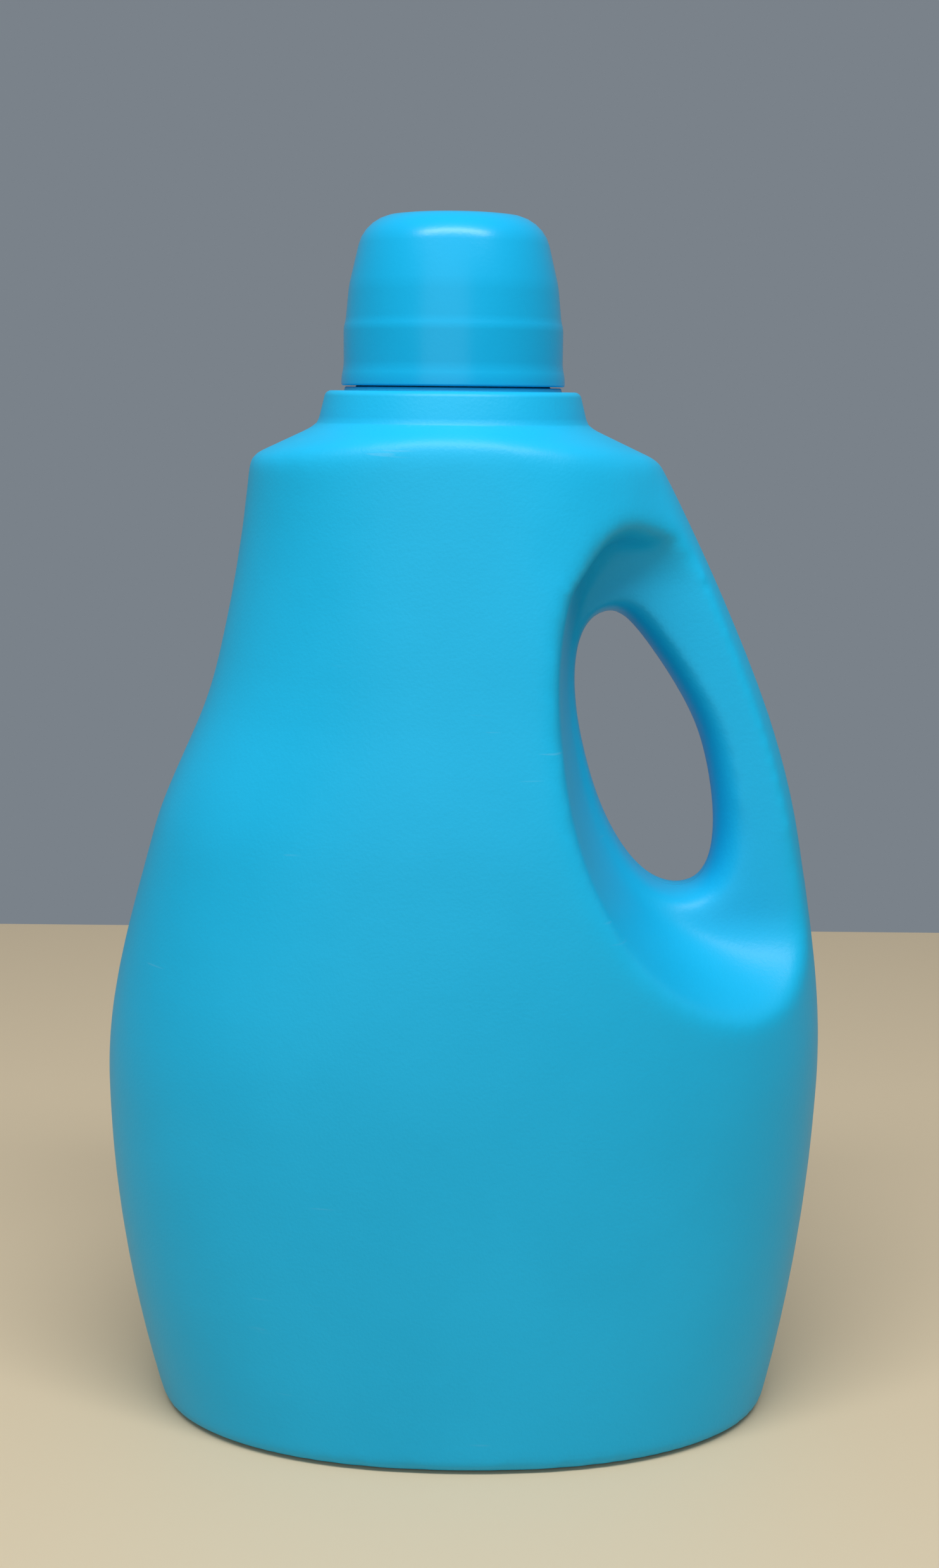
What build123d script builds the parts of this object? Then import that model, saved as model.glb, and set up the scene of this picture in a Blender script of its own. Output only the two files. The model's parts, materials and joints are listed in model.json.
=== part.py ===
from build123d import *
import math
import os

# A blow-moulded bottle with a hollow handle, a pour spout, a sealing ring and a dosing cap.
# It stands on z = 0. +X points to the handle, and the parting plane of the mould is y = 0.

# Body outline at five heights, as distances from the middle of the belly
base_left = 78.0
base_right = 79.3
base_depth = 99.0
belly_height = 88.0
belly_width = 181.0
belly_depth = 106.0
flank_height = 150.0
flank_left = 78.0
flank_right = 83.5
flank_depth = 100.0
grip_height = 190.0
grip_left = 62.2
grip_right = 71.2
grip_depth = 88.0
shoulder_height = 250.0
shoulder_left = 52.3
shoulder_right = 41.6
shoulder_depth = 77.0
squareness = 2.2
belly_point = 0.1
flank_point = 0.6
grip_point = 0.7
shoulder_point = 0.3

# Shoulder, collar and neck, all turned about one upright axis
neck_offset = 4.0
shoulder_slope = 25.0
shoulder_radius = 4.0
collar_height = 8.0
collar_foot_diameter = 65.0
collar_top_diameter = 61.4
collar_edge = 0.8
collar_foot_flare = 0.8
neck_diameter = 46.8
neck_wall = 2.0
neck_height = 14.6
wall = 1.2

# Base of the bottle
base_radius = 3.0
push_up_depth = 3.0
standing_band = 7.0
push_up_slope_width = 12.0

# Handle opening, its rounded rim and the dish around it
hole_x = 44.4
hole_z = 170.5
hole_height = 70.0
hole_width = 30.0
hole_lean = 0.257
hole_top_taper = 0.75
bar_depth = 24.0
bar_rounding = 8.0
rim_share = 0.6
rim_turn = 85.0
rim_run_out = 1.04
dish_depth = 56.0
dish_start = 0.16
dish_hollowness = 0.6
dish_side_reach = 7.1
dish_top_reach = 50.0
dish_bottom_reach = 33.7
dish_shift = 40.0
dish_lean_loss = 0.11
dish_bar_reach = 60.0

# Pour spout pressed into the neck
spout_fit = 0.1
spout_wall = 1.2
spout_flange_overlap = 0.2
spout_depth = 17.0
spout_tube_diameter = 23.0
spout_lip_height = 17.0
spout_lip_angle = 38.0
trough_fall = 2.0
drain_slot_width = 5.0

# Sealing ring
ring_thickness = 1.5
ring_width = 2.5
ring_cap_clearance = 0.2
seat_gap = 0.05

# Dosing cap
cap_gap = 1.2
cap_thread_room = 1.6
cap_foot_reach = 0.6
cap_foot_height = 3.4
cap_step = 0.5
cap_step_drop = 2.0
cap_cup_height = 25.7
cap_cup_taper = 0.8
cap_bend_share = 0.36
cap_crown_inset = 5.3
cap_crown_radius = 9.0
cap_side_radius = 20.0
cap_wall = 1.4
cap_rib_reach = 1.7
cap_rib_thickness = 1.4

# Fineness of the lofted forms
section_pitch = 9.0
half_section_points = 36
opening_points = 40
rim_levels = 9


def smooth_profile(height, stations):
    """Cubic through (height, value) stations, held constant beyond the last one."""
    heights = [station[0] for station in stations]
    values = [station[1] for station in stations]
    height = min(max(height, heights[0]), heights[-1])
    last = len(stations) - 1
    slopes = [(values[i + 1] - values[i - 1]) / (heights[i + 1] - heights[i - 1]) for i in range(1, last)]
    first_slope = 2 * (values[1] - values[0]) / (heights[1] - heights[0]) - slopes[0]
    last_slope = 2 * (values[last] - values[last - 1]) / (heights[last] - heights[last - 1]) - slopes[-1]
    slopes = [first_slope] + slopes + [last_slope]
    i = max(k for k in range(last) if height >= heights[k])
    span = heights[i + 1] - heights[i]
    s = (height - heights[i]) / span
    rise = values[i] * (1 + 2 * s) * (1 - s) ** 2 + values[i + 1] * (3 - 2 * s) * s * s
    bend = slopes[i] * s * (1 - s) ** 2 - slopes[i + 1] * s * s * (1 - s)
    return rise + span * bend


def station_profile(base, belly, flank, grip, shoulder):
    heights = [0.0, belly_height, flank_height, grip_height, shoulder_height]
    return list(zip(heights, [base, belly, flank, grip, shoulder]))


left_stations = station_profile(base_left, belly_width / 2, flank_left, grip_left, shoulder_left)
right_stations = station_profile(base_right, belly_width / 2, flank_right, grip_right, shoulder_right)
point_stations = station_profile(0.0, belly_point, flank_point, grip_point, shoulder_point)
depth_stations = station_profile(base_depth / 2, belly_depth / 2, flank_depth / 2, grip_depth / 2,
                                 shoulder_depth / 2)


def power(value, exponent):
    """Power that keeps the sign of the value."""
    return math.copysign(abs(value) ** exponent, value)


def half_section(z, inset):
    """Points along the front half of the section at height z, from the left edge to the right."""
    left = smooth_profile(z, left_stations)
    right = smooth_profile(z, right_stations)
    depth = smooth_profile(z, depth_stations)
    point = smooth_profile(z, point_stations)
    middle, half_width = (right - left) / 2, (right + left) / 2
    curve = []
    for i in range(half_section_points + 1):
        turn = math.pi * i / half_section_points
        across = -power(math.cos(turn), 2 / squareness)
        narrow = math.sqrt(1 - point * max(across, 0) ** 8)
        curve.append((middle + half_width * across, -depth * narrow * math.sin(turn) ** (2 / squareness)))
    curve[0], curve[-1] = (-left, 0.0), (right, 0.0)
    return inset_curve(curve, inset) if inset else curve


def inset_curve(curve, inset):
    """The front half outline moved inwards by inset."""
    moved = []
    for before, point, after in zip(curve, curve[1:], curve[2:]):
        dx, dy = after[0] - before[0], after[1] - before[1]
        size = math.hypot(dx, dy)
        moved.append((point[0] - inset * dy / size, point[1] + inset * dx / size))
    return [(curve[0][0] + inset, 0.0)] + moved + [(curve[-1][0] - inset, 0.0)]


def ring_wire(points):
    """Closed wire through a front half of (x, y, z) points and its mirror image behind."""
    count = len(points) - 1
    steps = [i / count for i in range(count + 1)]
    start = Vector(0, count * math.dist(points[0], points[1]), 0)
    end = Vector(0, count * math.dist(points[-1], points[-2]), 0)
    behind = [(x, -y, z) for x, y, z in reversed(points)]
    front = Edge.make_spline(points, tangents=[-start, end], parameters=steps, scale=False)
    back = Edge.make_spline(behind, tangents=[end, -start], parameters=steps, scale=False)
    return Wire([front, back])


def level_wire(z, inset, lift=0.0):
    """Closed section of the body at height z, shrunk by inset and drawn lift above that height."""
    return ring_wire([(x, y, z + lift) for x, y in half_section(z, inset)])


slope = math.radians(shoulder_slope)
collar_top = shoulder_height + collar_height
neck_top = collar_top + neck_height
neck_bore = neck_diameter - 2 * neck_wall


def cone_height(radius, inset):
    """Height of the shoulder cone at a radius from the neck axis."""
    return shoulder_height - (radius - collar_foot_diameter / 2) * math.tan(slope) - inset / math.cos(slope)


neck_axis = Axis((-neck_offset, 0, 0), (0, 0, 1))


def turned(points):
    """Solid of revolution about the neck axis from (radius, height) points."""
    outline = Polyline(*[(r - neck_offset, 0, z) for r, z in points], close=True)
    return revolve(make_face(outline), neck_axis, 360)


def upright(radius, low, high):
    """Cylinder about the neck axis between two heights."""
    bottom = (Align.CENTER, Align.CENTER, Align.MIN)
    return Pos(-neck_offset, 0, low) * Cylinder(radius, high - low, align=bottom)


def under_cone(inset):
    """Everything under the shoulder cone."""
    inner, outer = collar_foot_diameter / 2 - collar_height / 2, belly_width
    top = cone_height(inner, inset)
    return turned([(0, -1), (outer, -1), (outer, cone_height(outer, inset)), (inner, top), (0, top)])


def body_form(inset):
    """The closed body, rounded at its base and where it meets the shoulder cone."""
    top = shoulder_height + collar_height / 2
    count = round(top / section_pitch)
    wires = [level_wire(inset + (top - inset) * k / count, inset) for k in range(count + 1)]
    form = Solid.make_loft(wires) & under_cone(inset)
    base = form.edges().filter_by_position(Axis.Z, inset - 0.01, inset + 0.01)
    form = fillet(base, base_radius - inset)
    shoulder = [e for e in form.edges() if e.bounding_box().min.Z > grip_height and e.length > shoulder_depth
                and e.bounding_box().max.Z < cone_height(collar_foot_diameter / 2, inset)]
    return fillet(shoulder, shoulder_radius - inset)


def collar_form(inset):
    """The stepped collar with its flared foot and bevelled top edge, and the neck on it."""
    foot, top = collar_foot_diameter / 2 - inset, collar_top_diameter / 2 - inset
    rim, flare, edge = collar_top - inset, collar_foot_flare + inset / 2, max(collar_edge - inset, 0.2)
    foot_height = cone_height(foot, inset)
    neck = neck_bore / 2 if inset else neck_diameter / 2
    height = neck_top + inset
    low = foot_height - 2 * flare
    return turned([(0, low), (foot + 2 * flare, low), (foot, foot_height + flare), (top, rim - edge),
                   (top - edge, rim), (neck, rim), (neck, height), (0, height)])


def opening_outline(level, growth, bar_side, grow):
    """Closed outline round the handle opening, in the plane y = level."""
    reach = dish_top_reach, dish_bottom_reach
    lean = hole_lean - growth * dish_lean_loss
    points = []
    for i in range(opening_points):
        turn = 2 * math.pi * i / opening_points
        height = hole_height / 2 + growth * (reach[0] if math.sin(turn) > 0 else reach[1])
        up = height * power(math.sin(turn), 2 / squareness)
        narrowing = 1 / (1 + hole_top_taper * max(0.0, 2 * up / hole_height) ** 2)
        to_body = hole_width / 2 + growth * (dish_side_reach + dish_shift)
        to_bar = hole_width / 2 * narrowing + bar_side
        across = (to_bar if math.cos(turn) > 0 else to_body) * power(math.cos(turn), 2 / squareness)
        points.append((hole_x + growth * dish_shift - lean * up + across, hole_z + up))
    outline = []
    for i, (x, z) in enumerate(points):
        (xa, za), (xb, zb) = points[i - 1], points[(i + 1) % opening_points]
        size = math.hypot(xb - xa, zb - za)
        outline.append(Vector(x + grow * (zb - za) / size, level, z - grow * (xb - xa) / size))
    steps = [i / opening_points for i in range(opening_points + 1)]
    return Wire([Edge.make_spline(outline, periodic=True, parameters=steps)])


def grip_hole(grow):
    """The hole through the handle, with its rim rounded on both sides."""
    outlines = []
    for k in range(rim_levels):
        turn = math.radians(rim_turn) * (2 * k / (rim_levels - 1) - 1)
        level = (bar_depth / 2 - grow) * rim_run_out * math.sin(turn)
        rounding = 1 - math.cos(turn)
        growth = dish_start * rim_share * rounding
        outlines.append(opening_outline(level, growth, bar_rounding * rounding - growth * dish_shift, grow))
    return Solid.make_loft(outlines)


def dish(side, grow):
    """The dished recess on one side, open towards the bar and past the surface of the body."""
    outlines = []
    for share in (0.0, 0.04, 0.15, 0.35, 0.6, 0.85, 1.0):
        level = bar_depth / 2 + share * (dish_depth - bar_depth / 2) - grow
        swell = (1 - dish_hollowness) * share + dish_hollowness * math.sqrt(1 - (1 - share) ** 2)
        growth = dish_start + (1 - dish_start) * swell
        outlines.append(opening_outline(side * level, growth, dish_bar_reach, grow))
    return Solid.make_loft(outlines)


def push_up(grow):
    """The hollow under the base, inside the standing band."""
    low = level_wire(0.0, standing_band - grow)
    high = level_wire(0.0, standing_band + push_up_slope_width - grow, push_up_depth + grow)
    return Solid.make_loft([low, high])


def bottle_form(inset):
    """The bottle's outside, or the room inside it when inset by the wall."""
    form = body_form(inset) - grip_hole(inset) - dish(-1, inset) - dish(1, inset)
    return form + collar_form(inset) - push_up(inset)


def bottle_shell():
    return bottle_form(0.0) - bottle_form(wall)


def pour_spout():
    """Ring plug with a flange on the neck's rim, a draining trough and a slanted pouring lip."""
    plug, bore = neck_bore / 2 - spout_fit, neck_bore / 2 - spout_fit - spout_wall
    flange = neck_diameter / 2 + spout_flange_overlap
    tube = spout_tube_diameter / 2
    bottom, lip = neck_top - spout_depth, neck_top + spout_lip_height
    body = turned([(tube - spout_wall, bottom), (tube, bottom), (plug, bottom + trough_fall),
                   (plug, neck_top), (flange, neck_top), (flange, neck_top + spout_wall),
                   (bore, neck_top + spout_wall), (bore, bottom + trough_fall + spout_wall),
                   (tube, bottom + spout_wall), (tube, lip), (tube - spout_wall, lip)])
    reach = 2 * spout_tube_diameter
    slant = Pos(-neck_offset - tube, 0, lip) * Rot(0, spout_lip_angle, 0)
    corner = (Align.MIN, Align.CENTER, Align.MIN)
    above_lip = slant * Box(reach, reach, reach, align=corner)
    body -= above_lip & upright(tube + spout_wall / 2, bottom, lip + reach)
    slot = Pos(-neck_offset, 0, bottom + 2 * spout_wall)
    body -= slot * Box(tube + spout_wall, drain_slot_width, reach, align=corner)
    return body


def sealing_ring():
    """Soft washer between the spout's flange and the cap's inner rib."""
    outer, top = cap_skirt - cap_wall - ring_cap_clearance, ring_seat + ring_thickness
    return upright(outer, ring_seat, top) - upright(outer - ring_width, ring_seat, top)


def cup_outline(inset):
    """The dosing cup's side and rounded crown as a closed half outline."""
    side = cap_skirt - cap_step - inset
    crown = cap_step_height + cap_cup_height - inset
    bend = cap_step_height + cap_cup_height * cap_bend_share
    points = [(0, cap_step_height), (side, cap_step_height), (side - cap_cup_taper, bend),
              (cap_skirt - cap_crown_inset - inset, crown), (0, crown)]
    outline = make_face(Polyline(*[(r - neck_offset, 0, z) for r, z in points], close=True))
    rim = outline.vertices().filter_by_position(Axis.Z, crown - 0.01, crown + 0.01).sort_by(Axis.X)[-1]
    outline = fillet(rim, cap_crown_radius - inset)
    waist = outline.vertices().filter_by_position(Axis.Z, bend - 0.01, bend + 0.01).sort_by(Axis.X)[-1]
    return fillet(waist, cap_side_radius)


def dosing_cap():
    """Threaded skirt with a foot bead, and the closed cup above a small step."""
    bottom, foot = collar_top + cap_gap, cap_skirt + cap_foot_reach
    step_top = cap_step_height + cap_step
    outside = turned([(0, bottom), (foot, bottom), (foot, bottom + cap_foot_height),
                      (cap_skirt, bottom + cap_foot_height + cap_foot_reach), (cap_skirt, cap_step_height),
                      (cap_skirt - cap_step, step_top), (0, step_top)])
    outside += revolve(cup_outline(0.0), neck_axis, 360)
    rib_low = ring_seat + ring_thickness + seat_gap
    rib_top = rib_low + cap_rib_thickness
    rib_bore = cap_skirt - cap_step - cap_wall - cap_rib_reach
    inside = revolve(cup_outline(cap_wall), neck_axis, 360)
    inside += upright(cap_skirt - cap_wall, bottom, rib_low)
    inside -= upright(cap_skirt, rib_low, rib_top) - upright(rib_bore, rib_low, rib_top)
    return outside - inside


cap_skirt = neck_diameter / 2 + cap_thread_room + cap_wall
ring_seat = neck_top + spout_wall + seat_gap
cap_step_height = ring_seat + ring_thickness - cap_step_drop

pieces = {
    "bottle": bottle_shell(),
    "pour_spout": pour_spout(),
    "sealing_ring": sealing_ring(),
    "dosing_cap": dosing_cap(),
}
os.makedirs("parts", exist_ok=True)
for name, piece in pieces.items():
    export_step(piece, "parts/" + name + ".step")
    print(name, round(piece.volume), "mm3", len(piece.solids()), "solid")
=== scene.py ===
import json
import math

import bpy
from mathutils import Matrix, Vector, kdtree

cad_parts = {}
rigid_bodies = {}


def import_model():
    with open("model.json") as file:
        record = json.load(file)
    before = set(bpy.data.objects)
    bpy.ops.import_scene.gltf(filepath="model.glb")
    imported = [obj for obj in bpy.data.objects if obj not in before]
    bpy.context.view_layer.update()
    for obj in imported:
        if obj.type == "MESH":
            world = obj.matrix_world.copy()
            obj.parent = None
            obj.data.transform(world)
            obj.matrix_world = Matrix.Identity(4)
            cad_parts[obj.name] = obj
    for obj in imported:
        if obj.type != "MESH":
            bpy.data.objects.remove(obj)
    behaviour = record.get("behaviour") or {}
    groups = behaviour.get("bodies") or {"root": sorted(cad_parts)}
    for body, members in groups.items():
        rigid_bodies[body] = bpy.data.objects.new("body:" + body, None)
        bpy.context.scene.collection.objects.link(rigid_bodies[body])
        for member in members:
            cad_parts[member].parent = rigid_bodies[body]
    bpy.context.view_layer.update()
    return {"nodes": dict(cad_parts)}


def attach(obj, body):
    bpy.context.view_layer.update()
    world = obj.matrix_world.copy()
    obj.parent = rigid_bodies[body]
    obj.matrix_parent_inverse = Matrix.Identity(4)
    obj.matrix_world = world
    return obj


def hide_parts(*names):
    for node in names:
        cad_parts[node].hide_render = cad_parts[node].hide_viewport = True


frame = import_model()


# The camera stands half a metre in front of the bottle and looks slightly down at it,
# turned a little about its own axis, as the photograph was taken. Its angles are in degrees.
camera_place = (0.0009, -0.4992, 0.2582)
camera_look_down = 10.99
camera_roll = 0.55
bpy.ops.object.camera_add(location=camera_place)
camera = bpy.context.object
camera.name = "camera"
camera.rotation_mode = "ZYX"
camera.rotation_euler = (math.radians(90 - camera_look_down), 0, math.radians(camera_roll))
camera.data.lens = 46.5
camera.data.sensor_width = 36
bpy.context.scene.camera = camera
bpy.context.scene.view_settings.view_transform = "Standard"


# The table is a plain pale top that ends behind the bottle, and past it is a plain grey wall.
# The wall is the world's colour for the camera and in reflections, and soft light for the rest.
# Two lamps light the bottle: a wide ceiling tube above and in front of it, and a weak fill.
table_front = -1.4
table_back = 0.46
table_width = 2.6
bpy.ops.mesh.primitive_plane_add(size=1, location=(0, (table_front + table_back) / 2, 0))
table = bpy.context.object
table.name = "table_top"
table.scale = (table_width, table_back - table_front, 1)
bpy.ops.object.transform_apply(location=True, scale=True)
table_finish = bpy.data.materials.new("table_top")
table_finish.use_nodes = True
table_shader = table_finish.node_tree.nodes["Principled BSDF"]
table_shader.inputs["Base Color"].default_value = (0.60, 0.50, 0.345, 1)
table_shader.inputs["Roughness"].default_value = 0.6
table.data.materials.append(table_finish)


class Socket:
    """A socket in a material's node tree. Operators on it add Math nodes, and add() any other node."""

    def __init__(self, tree, source=None):
        self.tree, self.source = tree, source

    def add(self, kind, inputs, output=0, **settings):
        node = self.tree.nodes.new(kind)
        for name, value in settings.items():
            setattr(node, name, value)
        for name, value in inputs.items():
            if isinstance(value, Socket):
                self.tree.links.new(value.source, node.inputs[name])
            else:
                node.inputs[name].default_value = value
        return Socket(self.tree, node.outputs[output])

    def maths(self, operation, *values):
        return self.add("ShaderNodeMath", dict(enumerate(values)), operation=operation)

    def __add__(self, other):
        return self.maths("ADD", self, other)

    def __mul__(self, other):
        return self.maths("MULTIPLY", self, other)

    __radd__ = __add__
    __rmul__ = __mul__

    def step(self, start, end):
        """0 before start and 1 past end, with a soft run between them."""
        ends = {"Value": self, "From Min": start, "From Max": end}
        return self.add("ShaderNodeMapRange", ends, interpolation_type="SMOOTHSTEP")

    def blend(self, colour, other):
        """From one colour to the other as this mask goes from 0 to 1."""
        return self.add("ShaderNodeMix", {0: self, 6: colour, 7: other}, output=2, data_type="RGBA")

    def noise(self, waves, detail):
        """Noise of so many waves a metre, on this vector."""
        return self.add("ShaderNodeTexNoise", {"Vector": self, "Scale": waves, "Detail": detail})

    def stretched(self, scale, turn):
        """This vector stretched and turned, for streaks."""
        return self.add("ShaderNodeMapping", {"Vector": self, "Scale": scale, "Rotation": turn})

    def bump(self, depth, below=None):
        """A normal that this height raises by the depth, on top of the normal below, if any."""
        inputs = {"Height": self, "Distance": depth}
        if below:
            inputs["Normal"] = below
        return self.add("ShaderNodeBump", inputs, output="Normal")


world = bpy.data.worlds.new("studio")
bpy.context.scene.world = world
world.use_nodes = True
room = Socket(world.node_tree)
camera_ray, glossy_ray, through_ray = (
    room.add("ShaderNodeLightPath", {}, output=f"Is {kind} Ray")
    for kind in ("Camera", "Glossy", "Transmission"))
seen = camera_ray.maths("MAXIMUM", camera_ray, glossy_ray.maths("MAXIMUM", glossy_ray, through_ray))
wall = room.add("ShaderNodeBackground", {"Color": (0.195, 0.223, 0.254, 1), "Strength": 1.0})
light = room.add("ShaderNodeBackground", {"Color": (1.0, 1.0, 1.0, 1), "Strength": 0.33})
mixed = room.add("ShaderNodeMixShader", {0: seen, 1: light, 2: wall})
world.node_tree.links.new(mixed.source, world.node_tree.nodes["World Output"].inputs["Surface"])

lamps = (("ceiling_tube", (0.0, -0.40, 1.0), 0.14, (1.0, 0.14), 10.5),
         ("front_fill", (-0.25, -1.7, 0.6), 0.12, (1.6, 1.6), 7.2))
for name, place, aim_height, size, power in lamps:
    bpy.ops.object.light_add(type="AREA", location=place)
    lamp = bpy.context.object
    lamp.name = name
    lamp.data.energy = power
    lamp.data.shape = "RECTANGLE"
    lamp.data.size, lamp.data.size_y = size
    away = Vector(place) - Vector((0, 0, aim_height))
    lamp.rotation_euler = away.to_track_quat("Z", "Y").to_euler()


# The bottle is one blow-moulded shell of coloured polyethylene, satin all over, with a hollow
# handle. Its outside is the solid's, with the dish round the handle softened as the plastic
# rounds it off, and its collar, neck and two thread starts are turned about the neck's axis.
def plastic(name, colour, gloss, grain_depth, marks, seam=False):
    """A moulded plastic with faint clouds in its colour, a fine grain and light scuffs.

    The gloss is its roughness, the marks say how strongly the scuffs show, and a seam is the
    fine line that the two halves of the mould leave.
    """
    material = bpy.data.materials.new(name)
    material.use_nodes = True
    tree = material.node_tree
    shader = tree.nodes["Principled BSDF"]
    here = Socket(tree).add("ShaderNodeTexCoord", {}, output="Object")
    deep = [c * 0.97 for c in colour]
    pale = [min(1.0, c * 1.03 + 0.002) for c in colour]
    rubbed = [c * 0.8 + 0.12 for c in colour]
    clouds = here.noise(waves=16, detail=3).step(0.3, 0.7)
    along_scratches = here.stretched(scale=(55, 55, 700), turn=(0.4, 0.3, 0.5))
    streaks = along_scratches.noise(waves=1, detail=1).step(0.70, 0.76)
    patches = here.noise(waves=38, detail=1).step(0.60, 0.72)
    scuffs = streaks * patches * marks
    base = scuffs.blend(clouds.blend((*deep, 1), (*pale, 1)), (*rubbed, 1))
    roughness = clouds * 0.05 + scuffs * 0.15 + gloss
    grain = here.noise(waves=1300, detail=2) + here.noise(waves=260, detail=2) * 0.8
    normal = grain.bump(grain_depth)
    if seam:
        seam_half_width = 0.0004
        seam_depth = 0.00015
        side = here.add("ShaderNodeSeparateXYZ", {"Vector": here}, output="Y")
        line = side.maths("ABSOLUTE", side).step(seam_half_width, seam_half_width / 4)
        normal = line.bump(seam_depth, normal)
    tree.links.new(base.source, shader.inputs["Base Color"])
    tree.links.new(roughness.source, shader.inputs["Roughness"])
    tree.links.new(normal.source, shader.inputs["Normal"])
    shader.inputs["Specular IOR Level"].default_value = 0.25
    return material


def dressed(piece, material):
    """Gives the piece this material alone."""
    piece.data.materials.clear()
    piece.data.materials.append(material)


def alone(piece):
    """Selects the piece, in object mode, and nothing else."""
    if bpy.context.mode != "OBJECT":
        bpy.ops.object.mode_set(mode="OBJECT")
    bpy.ops.object.select_all(action="DESELECT")
    bpy.context.view_layer.objects.active = piece
    piece.select_set(True)


def selected(piece, wanted):
    """Opens the piece in edit mode with just the vertices selected that the test allows."""
    alone(piece)
    bpy.ops.object.mode_set(mode="EDIT")
    bpy.ops.mesh.select_mode(type="VERT")
    bpy.ops.mesh.select_all(action="DESELECT")
    bpy.ops.object.mode_set(mode="OBJECT")
    for vertex in piece.data.vertices:
        vertex.select = wanted(vertex.co)
    bpy.ops.object.mode_set(mode="EDIT")


def all_outwards():
    """Turns every face of the piece in edit mode outwards."""
    bpy.ops.mesh.select_all(action="SELECT")
    bpy.ops.mesh.normals_make_consistent(inside=False)


def finished(piece, kind, **settings):
    """Adds a modifier to the piece and applies it."""
    alone(piece)
    modifier = piece.modifiers.new(kind.lower(), kind)
    for name, value in settings.items():
        setattr(modifier, name, value)
    bpy.ops.object.modifier_apply(modifier=modifier.name)


def smooth_shaded(piece):
    """Merges the doubles that cutting left and shades the piece smooth up to its sharp edges."""
    selected(piece, lambda p: True)
    bpy.ops.mesh.remove_doubles(threshold=1e-5)
    bpy.ops.object.mode_set(mode="OBJECT")
    bpy.ops.object.shade_smooth_by_angle(angle=math.radians(32))


def single_point(name, place):
    """A new piece in edit mode that is one vertex, ready to be extruded."""
    bpy.ops.object.select_all(action="DESELECT")
    bpy.ops.mesh.primitive_plane_add(size=0.001)
    piece = bpy.context.object
    piece.name = piece.data.name = name
    bpy.ops.object.mode_set(mode="EDIT")
    bpy.ops.mesh.select_mode(type="VERT")
    bpy.ops.mesh.select_all(action="SELECT")
    bpy.ops.mesh.merge(type="CENTER")
    bpy.ops.transform.translate(value=place)
    return piece


neck_x = -0.004
neck_radius = 0.0234
neck_rim = 0.2726
collar_top = 0.258


def lathe(name, profile):
    """A solid turned about the neck's axis from (radius, height, corner size) points."""
    start_r, start_z, _ = profile[0]
    piece = single_point(name, (neck_x + start_r, 0, start_z))
    for (r, z, _), (next_r, next_z, _) in zip(profile, profile[1:]):
        bpy.ops.mesh.extrude_region_move(TRANSFORM_OT_translate={"value": (next_r - r, 0, next_z - z)})
    for r, z, corner in profile:
        if corner:
            selected(piece, lambda p: math.hypot(p.x - neck_x - r, p.z - z) < 1e-5)
            bpy.ops.mesh.bevel(offset_type="OFFSET", offset=corner, segments=6, affect="VERTICES")
    bpy.ops.mesh.select_all(action="SELECT")
    bpy.ops.mesh.spin(steps=128, angle=math.tau, center=(neck_x, 0, 0), axis=(0, 0, 1))
    bpy.ops.mesh.select_all(action="SELECT")
    bpy.ops.mesh.remove_doubles(threshold=1e-6)
    all_outwards()
    bpy.ops.object.mode_set(mode="OBJECT")
    return piece


thread_lead = 0.009
thread_low = 0.2606
thread_sweep = math.radians(324)
thread_slope = 0.0006
thread_crest_width = 0.0007
thread_root_depth = 0.0006


def thread(name, core, crest, turn):
    """One start of the screw thread: a blunt ridge that climbs from the core, with sunk ends.

    The crest is outside the core on the neck and inside it in the cap.
    """
    root = core + math.copysign(thread_root_depth, core - crest)
    piece = single_point(name, (root, 0, thread_low))
    root_width = 2 * thread_slope + thread_crest_width
    for across, up in ((crest - root, thread_slope), (0, thread_crest_width),
                       (root - crest, thread_slope), (0, -root_width)):
        bpy.ops.mesh.extrude_region_move(TRANSFORM_OT_translate={"value": (across, 0, up)})
    bpy.ops.mesh.select_all(action="SELECT")
    bpy.ops.mesh.remove_doubles(threshold=1e-6)
    finished(piece, "SCREW", angle=thread_sweep, screw_offset=thread_lead * thread_sweep / math.tau,
             steps=90, render_steps=90)
    selected(piece, lambda p: False)
    bpy.ops.mesh.select_non_manifold()
    bpy.ops.mesh.fill_holes(sides=0)

    def on_crest_at_an_end(p):
        angle = math.atan2(p.y, p.x) % math.tau
        at_an_end = min(abs(angle - end) for end in (0, thread_sweep, math.tau)) < 0.01
        return at_an_end and abs(math.hypot(p.x, p.y) - crest) < 1e-5

    selected(piece, on_crest_at_an_end)
    sunk = (core + root) / 2 / crest
    bpy.ops.transform.resize(value=(sunk, sunk, 1), center_override=(0, 0, 0))
    all_outwards()
    bpy.ops.transform.rotate(value=turn, orient_axis="Z", center_override=(0, 0, 0))
    bpy.ops.transform.translate(value=(neck_x, 0, 0))
    bpy.ops.object.mode_set(mode="OBJECT")
    return piece


def joined(piece, other, operation="UNION"):
    """Adds the other piece to this one, or cuts it away, and removes it."""
    finished(piece, "BOOLEAN", object=other, operation=operation, solver="MANIFOLD")
    bpy.data.objects.remove(other)


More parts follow.
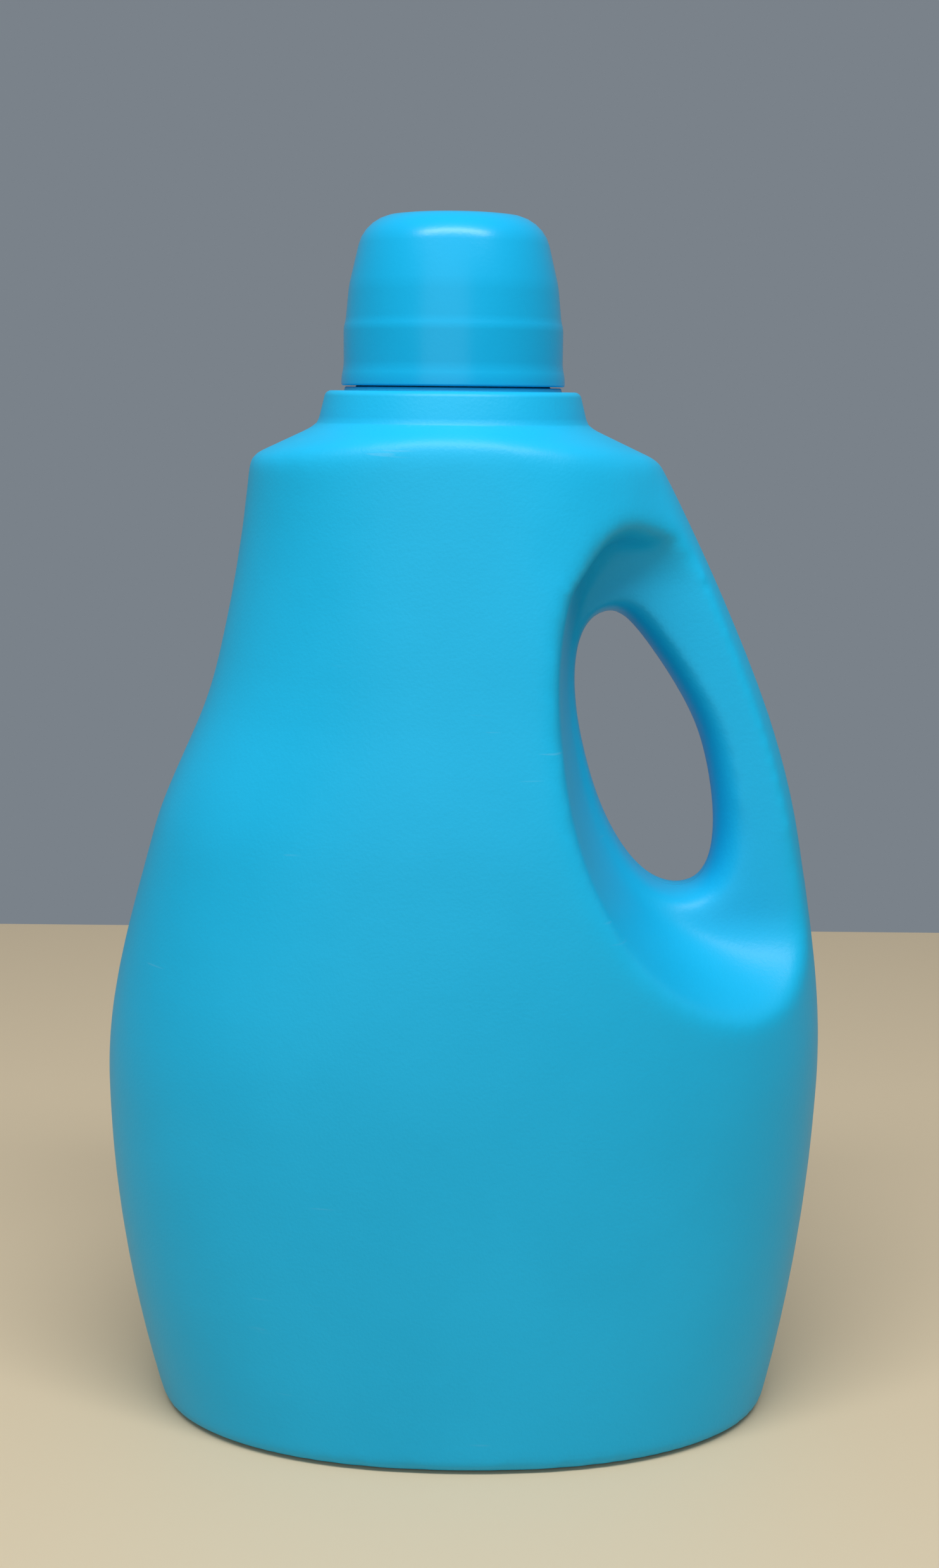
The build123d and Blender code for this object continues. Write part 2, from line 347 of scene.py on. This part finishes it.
# The solid's mesh without its neck falls into the outside and the room inside.
neck_cut = collar_top + 0.0015
foot_height = 0.0002
bpy.ops.object.select_all(action="DESELECT")
outside = bpy.data.objects.new("bottle_shell", frame["nodes"]["bottle"].data.copy())
bpy.context.scene.collection.objects.link(outside)
outside.data.name = "bottle_shell"
selected(outside, lambda p: True)
bpy.ops.mesh.remove_doubles(threshold=1e-5)
selected(outside, lambda p: p.z > neck_cut)
bpy.ops.mesh.delete(type="VERT")
selected(outside, lambda p: p.z < foot_height)
bpy.ops.mesh.select_linked()
bpy.ops.mesh.select_all(action="INVERT")
bpy.ops.mesh.separate(type="SELECTED")
bpy.ops.object.mode_set(mode="OBJECT")
room_inside = next(o for o in bpy.context.selected_objects if o != outside)
room_inside.name = "room_inside"

# The room inside goes on through the neck, as a plain bore that comes out past the rim.
bore_length = 0.018
selected(room_inside, lambda p: False)
bpy.ops.mesh.select_non_manifold()
bpy.ops.mesh.extrude_region_move(TRANSFORM_OT_translate={"value": (0, 0, bore_length)})
bpy.ops.mesh.edge_face_add()
all_outwards()

# The outside is closed where the neck was, and its sharp edges show where the dish begins.
selected(outside, lambda p: False)
bpy.ops.mesh.select_non_manifold()
bpy.ops.mesh.edge_face_add()
all_outwards()
bpy.ops.mesh.select_mode(type="EDGE")
bpy.ops.mesh.select_all(action="DESELECT")
bpy.ops.mesh.edges_select_sharp(sharpness=math.radians(14))
bpy.ops.object.mode_set(mode="OBJECT")


def on_dish_edge(p):
    """Tells the dish's own edge from the collar's edges, and from those of the hole in its middle."""
    dish_start = 0.01
    dish_low, dish_high = 0.09, 0.236
    hole_half_depth = 0.009 if p.z < 0.152 else 0.016
    return p.x > dish_start and dish_low < p.z < dish_high and abs(p.y) > hole_half_depth


vertices = outside.data.vertices
sharp = [vertices[v].co.copy() for edge in outside.data.edges if edge.select for v in edge.vertices]
crease = [p for p in sharp if on_dish_edge(p)]
ridge = kdtree.KDTree(len(crease))
for i, p in enumerate(crease):
    ridge.insert(p, i)
ridge.balance()

# The solid's own collar shrinks out of the way of the turned one that takes its place.
collar_foot = 0.2512
collar_shrink = 0.95
collar_sink = 0.0008
selected(outside, lambda p: p.z > collar_foot)
bpy.ops.transform.resize(value=(collar_shrink, collar_shrink, 1), center_override=(neck_x, 0, 0))
bpy.ops.transform.translate(value=(0, 0, -collar_sink))
finished(outside, "REMESH", mode="VOXEL", voxel_size=0.0015)

# The dish's upper edge comes down a little, and the room inside follows it, so that the wall stays.
edge_drop = 0.0045
upper_edge_height = 0.222
upper_edge_end = 0.043
inside_near = 0.004
for form, near in ((outside, 0.0025), (room_inside, inside_near)):
    selected(form, lambda p: p.z > upper_edge_height and p.x < upper_edge_end and ridge.find(p)[2] < near)
    bpy.ops.transform.translate(value=(0, 0, -edge_drop), use_proportional_edit=True,
                                proportional_edit_falloff="SMOOTH", proportional_size=0.013)
bpy.ops.object.mode_set(mode="OBJECT")


def between(value, start, end):
    """0 up to the start and 1 from the end, with a straight run between them."""
    return min(1.0, max(0.0, (value - start) / (end - start)))


def shoulder_share(p):
    """1 on the shoulder's edge at the front and back, where it is well rounded, and 0 at its sides."""
    shoulder_height = 0.2445
    shoulder_reach = 0.012
    near_height = max(0.0, 1 - ((p.z - shoulder_height) / shoulder_reach) ** 2)
    return between(abs(p.y), 0.014, 0.034) * near_height


# The smoothed ridge needs room, so the ridge of the room inside is flattened first.
inner_ridge = room_inside.vertex_groups.new(name="near_crease")
inner_ridge.add([v.index for v in room_inside.data.vertices
                 if ridge.find(v.co)[2] < inside_near or shoulder_share(v.co) > 0.25], 1.0, "REPLACE")
finished(room_inside, "SMOOTH", factor=0.5, iterations=2, vertex_group="near_crease")

# The ridge is rounded more the closer a place is to it, and further out where the dish is low.
least_reach = 0.011
low_reach = 0.006
raised_reach = 0.002
outer_ridge = outside.vertex_groups.new(name="near_crease")
for vertex in outside.data.vertices:
    p = vertex.co
    raised = between(p.z, 0.208, 0.22)
    low = 1 - between(p.z, 0.12, 0.15)
    reach = least_reach + low_reach * low + raised_reach * raised
    away = ridge.find((p.x, p.y, p.z + edge_drop * raised))[2]
    share = max(1 - (away / reach) ** 2, shoulder_share(p))
    if share > 0:
        outer_ridge.add([vertex.index], share, "REPLACE")
finished(outside, "SMOOTH", factor=0.5, iterations=26, vertex_group="near_crease")
finished(outside, "SMOOTH", factor=0.5, iterations=6)

# The collar flares into the shoulder, carries a low bead for the cap to close on, and goes on
# as the threaded neck. Its bore comes with the room inside.
bead_top = 0.2589
collar = lathe("collar", [
    (0, 0.244, 0), (0.0352, 0.2472, 0), (0.0325, 0.2509, 0.0011), (0.0307, collar_top, 0.0013),
    (0.0263, collar_top, 0), (0.0261, bead_top, 0.0003), (neck_radius, bead_top, 0.0003),
    (neck_radius, neck_rim, 0.0003), (0, neck_rim, 0)])
neck_thread_crest = 0.0246
for start in (0, 1):
    joined(collar, thread(f"neck_thread_{start}", neck_radius, neck_thread_crest, math.pi * start))
joined(outside, collar)
joined(outside, room_inside, "DIFFERENCE")
outside.vertex_groups.clear()
smooth_shaded(outside)
dressed(outside, plastic("bottle_plastic", colour=(0.004, 0.385, 0.672), gloss=0.42,
                         grain_depth=0.00004, marks=0.25, seam=True))
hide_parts("bottle")
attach(outside, "bottle_body")


# The pour spout is moulded from the same polyethylene without colour, milky and satin, and is
# pressed into the neck's bore. It keeps the solid's shape.
spout = frame["nodes"]["pour_spout"]
dressed(spout, plastic("spout_plastic", colour=(0.72, 0.76, 0.78), gloss=0.38,
                       grain_depth=0.00003, marks=0.0))


# The sealing ring is a washer cut from soft foamed sheet, matte and pale. It lies loose under
# the cap's inner rib and keeps the solid's shape.
ring = frame["nodes"]["sealing_ring"]
dressed(ring, plastic("ring_foam", colour=(0.80, 0.80, 0.78), gloss=0.8,
                      grain_depth=0.00008, marks=0.0))


# The dosing cap is injection-moulded from a slightly glossier plastic of the same blue: a skirt
# with a thicker foot, a small step, and the cup with its rounded crown. It screws onto the neck's
# threads, and its inner rib holds the sealing ring down.
cap_wall = 0.0014
cap_top = 0.29905
cap_ceiling = cap_top - cap_wall
cap_foot = 0.2592
crown_radius = 0.0211
bend_radius = 0.0251
bend_height = 0.2826
cup_radius = 0.0259
skirt_radius = 0.0264
cap_bore = skirt_radius - cap_wall
rib_radius = 0.0228
rib_low = 0.2754
rib_high = rib_low + cap_wall
cap_outside = [
    (0, cap_top, 0), (crown_radius, cap_top, 0.0071), (bend_radius, bend_height, 0.0015),
    (cup_radius, 0.2746, 0.0008), (skirt_radius, 0.2728, 0.0008), (skirt_radius, 0.2636, 0.0012),
    (0.0269, 0.2616, 0.0009), (0.027, cap_foot, 0.0005)]
cap_inside = [
    (cap_bore, cap_foot, 0.0003), (cap_bore, rib_low, 0), (rib_radius, rib_low, 0.0003),
    (rib_radius, rib_high, 0.0003), (cup_radius - cap_wall, rib_high, 0),
    (bend_radius - cap_wall, bend_height, 0.0015), (crown_radius - cap_wall, cap_ceiling, 0.006),
    (0, cap_ceiling, 0)]
cap = lathe("dosing_cap_shell", cap_outside + cap_inside)
cap_thread_crest = 0.02385
for start in (0, 1):
    joined(cap, thread(f"cap_thread_{start}", cap_bore, cap_thread_crest, math.pi * (start + 0.5)))
smooth_shaded(cap)
dressed(cap, plastic("cap_plastic", colour=(0.002, 0.342, 0.63), gloss=0.25,
                     grain_depth=0.00002, marks=0.2))
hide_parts("dosing_cap")
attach(cap, "cap_body")
